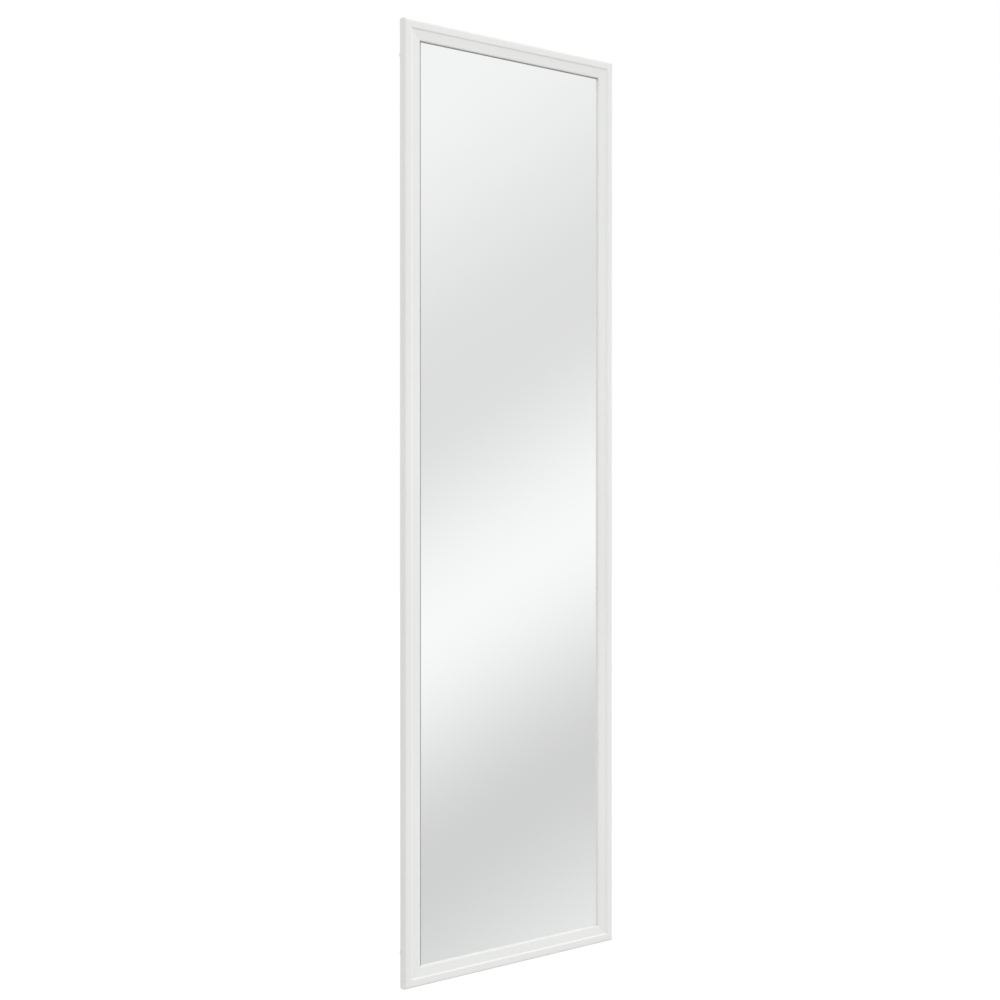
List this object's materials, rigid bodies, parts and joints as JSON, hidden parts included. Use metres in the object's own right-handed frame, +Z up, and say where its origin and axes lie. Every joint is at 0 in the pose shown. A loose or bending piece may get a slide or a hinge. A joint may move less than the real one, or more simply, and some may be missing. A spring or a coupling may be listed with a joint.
{
  "type": "over the door mirror",
  "caption": "Full length mirror in a mitred stepped moulding, hung on a door by slotted hooks that slide in channels behind the top rail and are clamped by screws.",
  "frame": {"origin": "middle of the mirror's bottom edge, on the plane of the door's face that the bumpers touch", "axes": "+X to the right as one faces the mirror, +Y back into the door, +Z up along the mirror's height"},
  "size_m": [0.3556, 0.0682, 1.27],
  "materials": {
    "white_plastic": "satin",
    "silvered_glass": "polished",
    "hardboard": "matte",
    "zinc_steel": "satin",
    "rubber": "matte",
    "white_steel": "satin",
    "brass": "satin",
    "foam": "matte"
  },
  "bodies": {
    "mirror": {"stile_left": "white_plastic", "stile_right": "white_plastic", "rail_top": "white_plastic", "rail_bottom": "white_plastic", "mirror_glass": "silvered_glass", "backing_board": "hardboard", "glazing_points": "zinc_steel", "corner_v_nails": "zinc_steel", "channel_screws": "zinc_steel", "bumper_top_left": "rubber", "bumper_top_right": "rubber", "bumper_bottom_left": "rubber", "bumper_bottom_right": "rubber", "hanger_channel_left": "white_steel", "hanger_channel_right": "white_steel", "clamp_insert_left": "brass", "clamp_insert_right": "brass"},
    "hook_left": {"hook_left": "white_steel", "hook_pads_left": "foam"},
    "clamp_washer_left": {"clamp_washer_left": "zinc_steel"},
    "clamp_screw_left": {"clamp_screw_left": "zinc_steel"},
    "hook_right": {"hook_right": "white_steel", "hook_pads_right": "foam"},
    "clamp_washer_right": {"clamp_washer_right": "zinc_steel"},
    "clamp_screw_right": {"clamp_screw_right": "zinc_steel"}
  },
  "joints": [
    {"name": "hook_left_slide", "type": "slide", "parent": "mirror", "child": "hook_left", "axis": [0, 0, 1], "range_m": [0, 0.11]},
    {"name": "clamp_left_lift", "type": "slide", "parent": "mirror", "child": "clamp_washer_left", "axis": [0, 1, 0], "range_m": [0, 0.0007]},
    {"name": "clamp_left_turn", "type": "hinge", "parent": "clamp_washer_left", "child": "clamp_screw_left", "pos_m": [-0.095, -0.0035, 1.25725], "axis": [0, 1, 0], "range_deg": [0, 360]},
    {"name": "hook_right_slide", "type": "slide", "parent": "mirror", "child": "hook_right", "axis": [0, 0, 1], "range_m": [0, 0.11]},
    {"name": "clamp_right_lift", "type": "slide", "parent": "mirror", "child": "clamp_washer_right", "axis": [0, 1, 0], "range_m": [0, 0.0007]},
    {"name": "clamp_right_turn", "type": "hinge", "parent": "clamp_washer_right", "child": "clamp_screw_right", "pos_m": [0.095, -0.0035, 1.25725], "axis": [0, 1, 0], "range_deg": [0, 360]}
  ],
  "couplings": [
    {"joint": "clamp_left_turn", "follows": "clamp_left_lift", "rad_per_m": 8975.9},
    {"joint": "clamp_right_turn", "follows": "clamp_right_lift", "rad_per_m": 8975.9}
  ]
}
